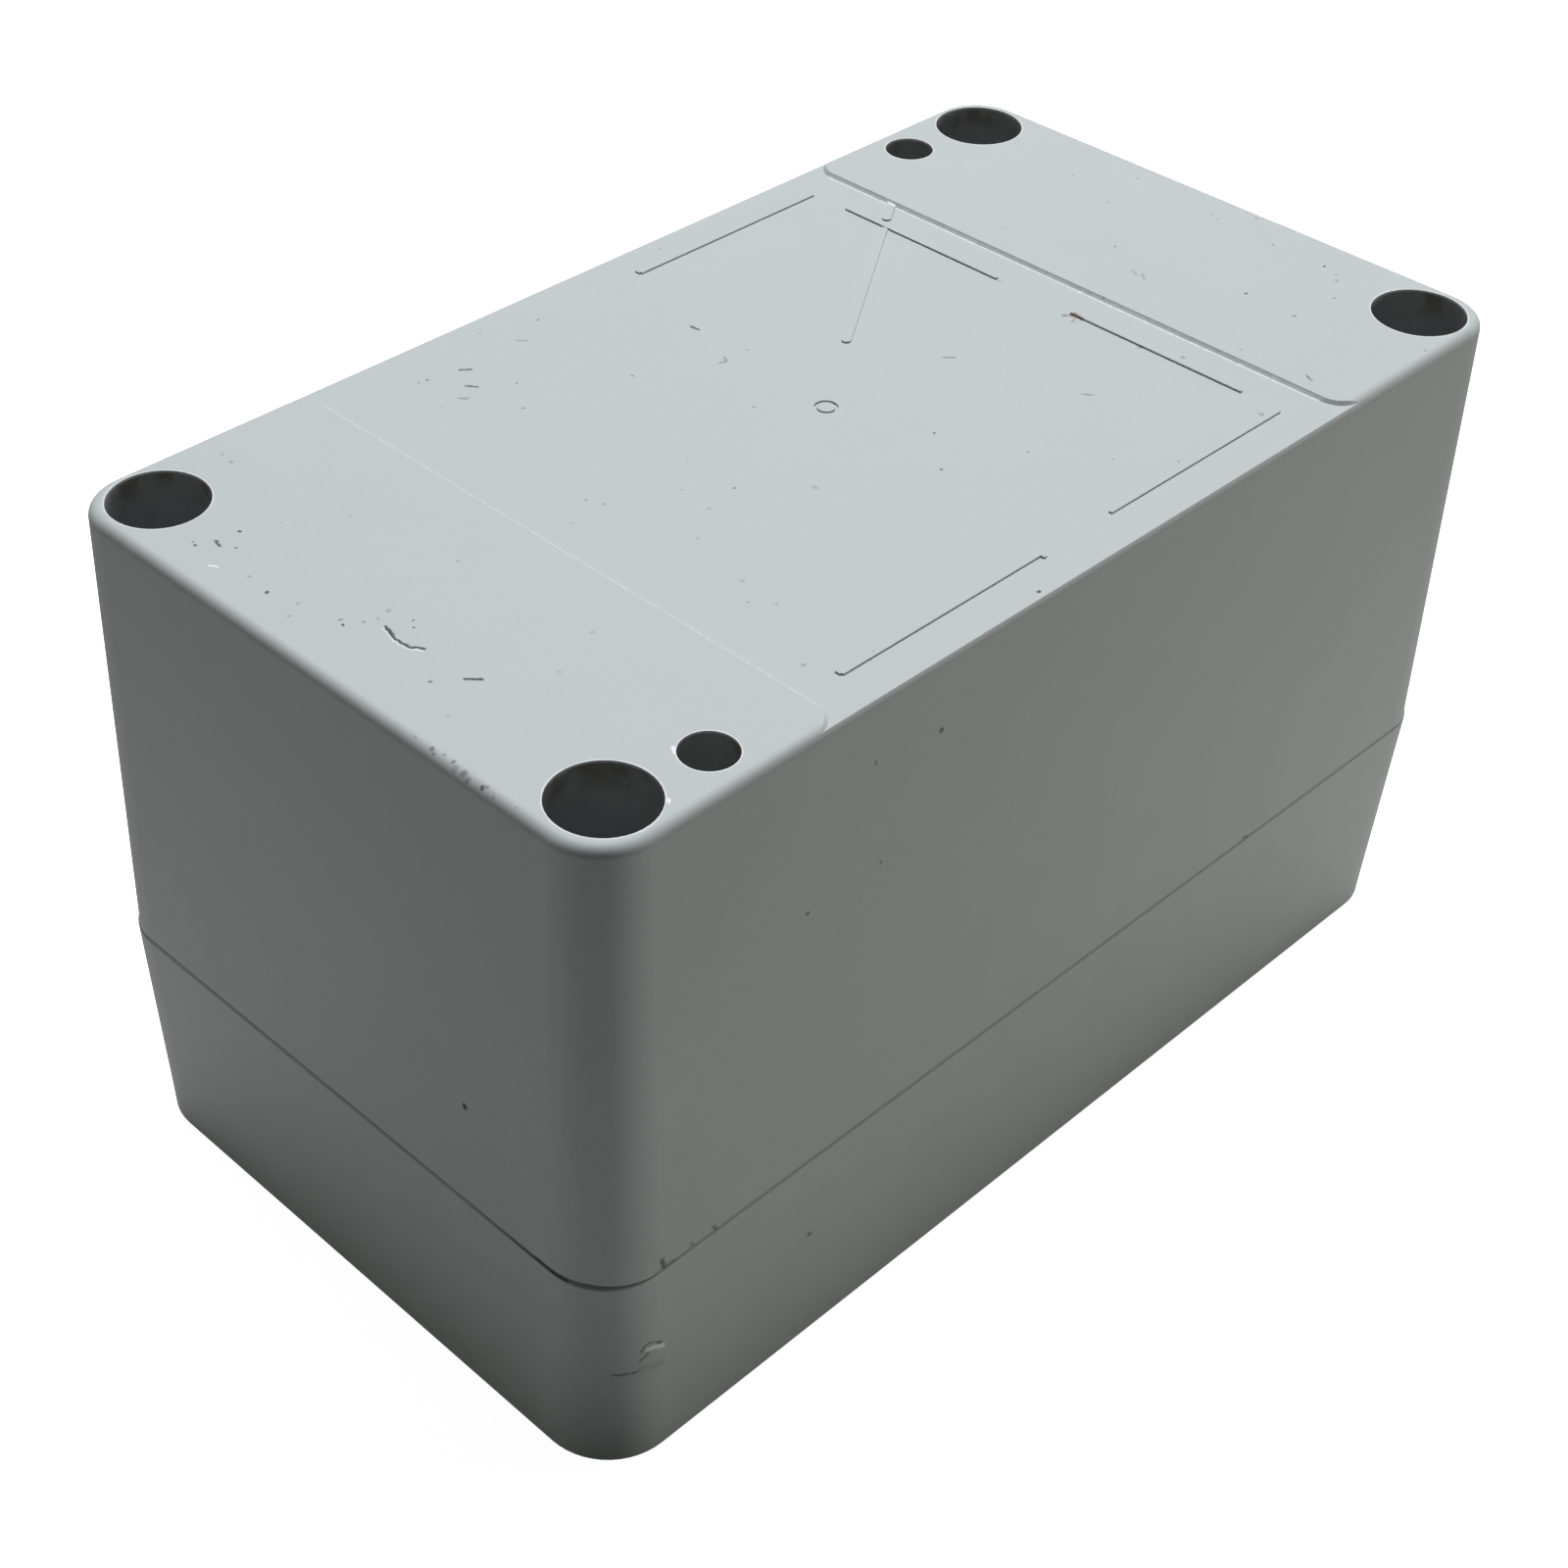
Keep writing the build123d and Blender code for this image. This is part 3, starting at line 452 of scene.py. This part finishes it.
# far pad: specks, some on its edge, and two faint cuts
far_specks = [
    (39.4, 6.0, 0.30, 0.9), (39.9, -2.7, 0.28, 0.8), (40.2, -6.2, 0.25, 0.7), (44.8, 13.0, 0.20, 0.4),
    (61.9, 16.0, 0.22, 0.5), (65.3, -12.0, 0.25, 0.6), (65.3, -19.4, 0.28, 0.9), (64.6, -21.6, 0.25, 0.5),
    (63.5, -22.4, 0.25, 0.5), (59.8, -24.7, 0.25, 0.5), (53.2, -17.0, 0.28, 0.9), (52.9, -24.0, 0.30, 0.5),
    (57.2, -38.8, 0.25, 0.4), (42.2, -24.3, 0.25, 0.4), (67.2, 10.1, 0.22, 0.4), (59.5, 8.5, 0.22, 0.4),
    (51.1, 0.7, 0.22, 0.5), (66.2, -2.2, 0.22, 0.5), (65.7, -3.4, 0.22, 0.4), (69.5, -6.5, 0.25, 0.5),
]
far_strokes = [
    (at(back_level, (42.9, -32.8), (42.3, -33.9)), 0.20, 0.7),
    (at(back_level, (47.9, -4.4), (47.4, -5.4)), 0.25, 0.3),
    (at(back_level, (48.0, -5.8), (47.2, -6.8)), 0.25, 0.3),
]
# the lowered field between them
field_specks = [
    (-19.2, -5.2, 0.28, 0.6), (-31.1, 1.9, 0.25, 0.5), (-6.2, 4.8, 0.25, 0.5), (4.1, -12.2, 0.25, 0.7),
    (-0.8, -17.5, 0.25, 0.7), (8.5, -21.7, 0.22, 0.5), (14.0, -28.6, 0.22, 0.4), (18.7, -33.8, 0.22, 0.4),
    (-10.5, 35.0, 0.25, 0.5), (-17.3, 37.3, 0.25, 0.4), (-21.6, 26.2, 0.22, 0.5), (-24.5, 21.8, 0.25, 0.4),
    (-11.2, 18.7, 0.22, 0.5), (-28.3, 33.4, 0.28, 0.6), (-29.3, 33.6, 0.22, 0.5), (-18.8, 2.2, 0.20, 0.4),
    (-23.3, -1.7, 0.22, 0.4), (-23.9, -6.1, 0.25, 0.4), (-30.6, -17.6, 0.35, 0.25), (-32.8, -20.6, 0.25, 0.3),
    (-31.0, -22.7, 0.25, 0.3), (-31.9, 3.8, 0.22, 0.4), (-35.9, 1.6, 0.22, 0.3), (-28.6, -9.2, 0.22, 0.3),
    (2.1, 14.0, 0.22, 0.4), (11.5, 37.8, 0.22, 0.5), (-29.9, -34.6, 0.25, 0.4), (-13.0, -10.8, 0.45, 0.25),
    (34.8, -15.9, 0.45, 0.35), (36.6, -20.6, 0.40, 0.4), (33.0, -34.0, 0.40, 0.35), (-10.6, -39.0, 0.30, 1.0),
]
field_strokes = [
    (at(field_level, (-24.2, 32.6), (-23.3, 31.9)), 0.30, 0.8),
    (at(field_level, (-26.0, 29.6), (-25.3, 28.6)), 0.28, 0.8),
    (at(field_level, (-28.2, 28.1), (-27.6, 27.4)), 0.30, 0.4),
    (at(field_level, (-15.3, 33.2), (-14.5, 32.4)), 0.30, 0.3),
    (at(field_level, (1.1, 22.0), (1.3, 21.0)), 0.25, 1.0),
    (at(field_level, (-2.2, 14.0), (-1.4, 13.8), (-0.9, 14.6)), 0.22, 0.5),
    (at(field_level, (16.9, -2.2), (17.9, -3.2)), 0.20, 0.6),
    (at(field_level, (22.0, -17.9), (22.8, -18.9)), 0.20, 0.5),
    (at(field_level, (35.0, 4.9), (35.0, 29.6)), 0.20, 0.35),
]
dark = spots(tree, ragged, pad_specks, level=back_level)
dark = strokes(tree, ragged, pad_strokes, dark)
dark = spots(tree, ragged, far_specks, dark, level=back_level)
dark = strokes(tree, ragged, far_strokes, dark)
dark = spots(tree, ragged, field_specks, dark, level=field_level)
dark = strokes(tree, ragged, field_strokes, dark)
# dirt worked into the back's near edge, and black specks on the near walls
wall_specks = [
    (-70.4, -15.0, 85.87, 0.25, 0.3), (-70.4, -17.4, 85.87, 0.34, 0.6), (-70.7, -17.9, 85.8, 0.25, 0.5),
    (-70.2, -18.9, 85.92, 0.26, 0.5), (-70.3, -20.2, 85.9, 0.30, 0.6), (-70.7, -20.9, 85.75, 0.55, 0.3),
    (-70.6, -22.0, 85.8, 0.50, 0.5), (-70.9, -22.8, 85.65, 0.40, 0.4), (-70.7, -24.6, 85.75, 0.36, 0.8),
    (-70.4, -25.0, 85.87, 0.25, 0.5), (-70.9, -26.2, 85.65, 0.28, 0.3), (-70.4, -28.9, 85.85, 0.22, 0.3),
    (-72.4, -21.4, 43.8, 0.48, 1.0), (-66.9, -40.6, 71.5, 0.30, 0.8), (-72.1, -38.7, 56.1, 0.35, 0.4),
    (-44.3, -40.8, 64.9, 0.35, 0.7), (-33.9, -40.8, 65.3, 0.30, 0.5), (-35.3, -40.4, 78.4, 0.30, 0.5),
    (-25.8, -40.5, 77.2, 0.45, 0.7),
]
dark = spots(tree, ragged, wall_specks, dark)
# smudges of dirt at the seam near the corner, and a dark line painted along the seam: painted shade in the
# gap between base and lid
seam_smudges = [
    ([(-64.6, -41.8, 31.2), (-64.2, -41.8, 29.8)], 0.45, 0.75),
    ([(-64.2, -41.8, 30.0), (-62.6, -41.8, 29.9)], 0.35, 0.6),
    ([(-60.4, -41.8, 30.5), (-60.0, -41.8, 29.8)], 0.35, 0.5),
    ([(-57.2, -41.8, 30.6), (-56.8, -41.8, 29.8)], 0.35, 0.6),
    ([(33.0, -41.8, 30.2), (33.8, -41.8, 29.9)], 0.40, 0.6),
]
# painted shade: a dark line along the seam, where the gap between base and lid lies in shade
seam_lines = [
    (at(seam_level, (-66.0, -41.8), (70.0, -41.8)), 0.16, 0.45),
    ([(-72.8, 35.0, 30.05), (-72.8, -32.0, 30.05)], 0.20, 0.75),
    ([(-72.8, -32.0, 30.05), (-72.75, -34.5, 30.05), (-72.45, -36.1, 30.0)], 0.34, 1.0),
]
dark = strokes(tree, ragged, seam_smudges, dark)
dark = strokes(tree, place, seam_lines, dark)

# brown dirt along the cross line, with a fuzzy brown speck at its end
brown_strokes = [
    (at(field_level + 0.1, (35.0, -7.0), (35.0, -29.6)), 0.20, 0.30),
    (at(field_level + 0.3, (34.9, -5.6), (36.6, -4.4)), 0.28, 0.9),
    (at(field_level + 0.2, (34.2, -5.4), (35.1, -6.2), (34.9, -7.4)), 0.45, 0.9),
    (at(field_level + 0.2, (34.6, -6.6), (33.9, -7.0)), 0.35, 0.8),
]
brown = strokes(tree, ragged, brown_strokes)

# bare chip and burr marks, lighter than the skin, and painted light along the risers at the pads' edges
light_strokes = [
    (at(back_level, (-67.5, 20.2), (-67.0, 19.4)), 0.22, 0.9),
    (at(back_level, (-61.7, 0.1), (-62.4, -2.3), (-62.2, -4.1), (-61.4, -5.3)), 0.16, 0.6),
    (at(back_level, (-54.9, -33.0), (-54.5, -32.4)), 0.30, 0.8),
    (at(back_level, (-60.2, -37.8), (-59.9, -37.4)), 0.24, 0.8),
    ([(-71.2, -38.6, 56.0), (-70.6, -39.4, 55.9)], 0.25, 0.5),
    # painted light: lighter lines along the risers at the edges of the far and near pads
    (at(back_level - 0.2, (40.0, -36.5), (40.0, 37.0)), 0.45, 0.45),
    (at(back_level - 0.2, (-40.0, -36.5), (-40.0, 37.0)), 0.30, 0.30),
]
light = strokes(tree, ragged, light_strokes)

rim, inside = 0.0, 0.0
for centres, radius in ((core_places, core_radius), (mount_places, mount_radius)):
    for x, y in centres:
        hole_marks = use_group(tree, hole_group, {
            "Rim Before": rim, "Inside Before": inside, "Place": place,
            "Centre": (x * mm, y * mm, back_level * mm), "Radius": radius * mm})
        rim, inside = hole_marks["Rim"], hole_marks["Inside"]
patches = add(tree, "ShaderNodeTexNoise", {"Vector": place, "Scale": 260.0, "Detail": 3.0}).outputs["Fac"]
height = add(tree, "ShaderNodeSeparateXYZ", {0: place}).outputs["Z"]
near_rim = fade(tree, height, (back_level - 1.0) * mm, (back_level - 4.0) * mm)
rubbed = calc(tree, "MULTIPLY", calc(tree, "MULTIPLY", inside, near_rim), fade(tree, patches, 0.62, 0.5))
# painted shade: the holes' walls are darkened toward the dark colour
painted = mix(tree, calc(tree, "MULTIPLY", inside, shade_in_holes), painted, dark_dirt_and_shade)
painted = mix(tree, calc(tree, "MULTIPLY", rubbed, rub_strength), painted, brown_dirt)
# painted highlight: a lighter ring on each hole's rim
painted = mix(tree, calc(tree, "MULTIPLY", rim, rim_highlight_strength), painted, bare_chip_and_highlight)
painted = mix(tree, light, painted, bare_chip_and_highlight)
painted = mix(tree, brown, painted, brown_dirt)
painted = mix(tree, dark, painted, dark_dirt_and_shade)
finish_moulding(tree, shader, face, painted, light)
dress(["base"], material)

# Lid: the shallower moulding, of the same polyester. Near the corner its wall carries a
# dark scratch, and a bare chip with a curl of skin still on it.
lid_corner_centre = (-64.7, -33.7)
lid_corner_radius = 7.9


def on_lid(*points):
    """Points of (x, z) on the lid's near wall, also where it turns round the corner."""
    corner_x, corner_y = lid_corner_centre
    return [(x, corner_y - sqrt(lid_corner_radius ** 2 - min(x - corner_x, 0) ** 2), z) for x, z in points]


material, tree, shader, place, ragged, painted, face = moulded_polyester("lid_polyester")
lid_dark_strokes = [
    (on_lid((-69.6, 15.5), (-68.4, 15.4), (-67.2, 15.3)), 0.28, 0.6),
    (on_lid((-67.1, 16.9), (-66.2, 17.7)), 0.26, 0.6),
    (on_lid((-66.8, 15.6), (-64.2, 14.6)), 0.80, 0.18),
    (on_lid((-66.9, 18.4), (-66.7, 19.0), (-66.0, 19.3), (-64.4, 18.2)), 0.20, 0.75),
    (on_lid((-71.0, 11.1), (-70.8, 11.0)), 0.30, 0.35),
    (on_lid((-42.2, 17.5), (-41.9, 17.2)), 0.35, 0.6),
]
# painted shade: a dark line along the seam on the lid's near end wall
lid_seam_lines = [([(-72.8, -28.0, 29.75), (-72.7, -34.0, 29.7), (-72.4, -36.1, 29.7)], 0.22, 0.9)]
lid_light_strokes = [
    (on_lid((-66.2, 18.3), (-65.3, 18.1), (-64.1, 17.3)), 0.42, 0.8),
    # painted highlight: a lighter line on the lid's rim just under the seam, near the corner
    ([(-72.6, -31.0, 29.35), (-72.4, -35.4, 29.35), (-71.3, -38.1, 29.4)], 0.20, 0.30),
]
dark = strokes(tree, ragged, lid_dark_strokes)
dark = strokes(tree, place, lid_seam_lines, dark)
light = strokes(tree, ragged, lid_light_strokes)
painted = mix(tree, light, painted, bare_chip_and_highlight)
painted = mix(tree, dark, painted, dark_dirt_and_shade)
finish_moulding(tree, shader, face, painted, light)
dress(["lid"], material)

# Seals: the gasket in the lid's groove, and the rings under the screws' heads and the
# bezels. All are black moulded rubber, matt and slightly dusty.


def plain_finish(name, colour, roughness, spread=0.03, bump_depth=0.01, metallic=0.0, coat=0.0):
    """A material from the fine surface alone, for pieces without marks of their own."""
    material, tree, shader, place = new_material(name)
    face = use_group(tree, surface_group,
                     {"Place": place, "Color": colour, "Roughness": roughness, "Color Spread": spread,
                      "Roughness Spread": spread * 4})
    bump = add(tree, "ShaderNodeBump",
               {"Height": face["Height"], "Strength": 0.5, "Distance": bump_depth * mm})
    tree.links.new(face["Color"], shader.inputs["Base Color"])
    tree.links.new(face["Roughness"], shader.inputs["Roughness"])
    tree.links.new(bump.outputs["Normal"], shader.inputs["Normal"])
    shader.inputs["Metallic"].default_value = metallic
    shader.inputs["Coat Weight"].default_value = coat
    return material


rubber = plain_finish("seal_rubber", (0.035, 0.035, 0.036, 1), 0.75, spread=0.10, bump_depth=0.03)
dress(["lid_gasket", "lid_screw_seals", "panel_gasket_1", "panel_gasket_2"], rubber)

# Screws: zinc-plated steel, waisted so that the lid keeps them. The small screws and
# saddles of the terminals are plated in the same way.
contacts = ("make_1", "break_1", "make_2", "break_2")

steel = plain_finish("zinc_plated_steel", (0.60, 0.61, 0.62, 1), 0.34, spread=0.08, metallic=1.0)
dress(["lid_screws", "earth_bar_screws", "earth_clamp_screws", "earth_clamp_saddles"], steel)
dress([f"terminal_screws_{name}" for name in contacts], steel)

# Inserts, earth bar and contact parts: brass, left bare. The inserts and the bar are turned
# and milled, and the strips and bridges of the contacts are stamped from sheet.
brass = plain_finish("plain_brass", (0.72, 0.55, 0.27, 1), 0.36, spread=0.10, metallic=1.0)
dress(["lid_screw_inserts", "earth_bar"], brass)
dress([f"contact_strips_{name}" for name in contacts], brass)
dress([f"contact_bridge_{name}" for name in contacts], brass)

# Push-buttons: moulded in black, grey and coloured plastic. Green ones make a contact and
# red ones break it.
numbers = ("1", "2")

black = plain_finish("black_plastic", (0.028, 0.028, 0.030, 1), 0.42, spread=0.10)
grey = plain_finish("dark_grey_plastic", (0.16, 0.165, 0.17, 1), 0.5, spread=0.06)
pale = plain_finish("light_grey_plastic", (0.56, 0.57, 0.55, 1), 0.5, spread=0.04)
green = plain_finish("green_plastic", (0.02, 0.20, 0.06, 1), 0.28, spread=0.05, coat=0.2)
red = plain_finish("red_plastic", (0.36, 0.02, 0.015, 1), 0.28, spread=0.05, coat=0.2)
dress([f"actuator_body_{n}" for n in numbers] + [f"lock_ring_{n}" for n in numbers], black)
dress([f"plunger_{n}" for n in numbers] + [f"cross_bar_{n}" for n in numbers], grey)
dress([f"contact_carrier_{n}" for n in numbers], grey)
dress([f"contact_block_{name}" for name in contacts], pale)
dress(["button_cap_1", "contact_plunger_make_1", "contact_plunger_make_2"], green)
dress(["button_cap_2", "contact_plunger_break_1", "contact_plunger_break_2"], red)

# Return springs: steel wire coiled in seven turns, round each plunger and under the floor
# of its barrel.
spring_turns = 7
steps_in_a_turn = 32
sides_of_wire = 12
wire_radius = 0.5 * mm
steps = spring_turns * steps_in_a_turn

wire = plain_finish("spring_wire", (0.42, 0.43, 0.45, 1), 0.3, spread=0.08, metallic=1.0)
dress([f"return_spring_{n}" for n in numbers], wire)
for n in numbers:
    low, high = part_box(f"return_spring_{n}")
    axis_x, axis_y = (low[0] + high[0]) / 2, (low[1] + high[1]) / 2
    height = high[2] - low[2]
    coil_radius = (high[0] - low[0]) / 2 - wire_radius
    rise = (height - 2 * wire_radius) / steps
    first_place = (axis_x + coil_radius, axis_y, low[2] + wire_radius)
    spring_mesh = bpy.data.meshes.new(f"coiled_spring_{n}")
    spring = bpy.data.objects.new(f"coiled_spring_{n}", spring_mesh)
    bpy.context.collection.objects.link(spring)
    shape = bmesh.new()
    bmesh.ops.create_circle(shape, segments=sides_of_wire, radius=wire_radius)
    bmesh.ops.rotate(shape, verts=shape.verts, cent=(0, 0, 0), matrix=Matrix.Rotation(radians(90), 3, "X"))
    bmesh.ops.translate(shape, verts=shape.verts, vec=first_place)
    bmesh.ops.spin(shape, geom=shape.edges[:], cent=(axis_x, axis_y, 0), axis=(0, 0, 1), dvec=(0, 0, rise),
                   angle=radians(360 * spring_turns), steps=steps)
    bmesh.ops.holes_fill(shape, edges=[edge for edge in shape.edges if edge.is_boundary])
    bmesh.ops.recalc_face_normals(shape, faces=shape.faces)
    shape.to_mesh(spring_mesh)
    shape.free()
    spring_mesh.shade_smooth()
    spring_mesh.materials.append(wire)
    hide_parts(f"return_spring_{n}")
    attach(spring, "lid")
    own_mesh(spring)
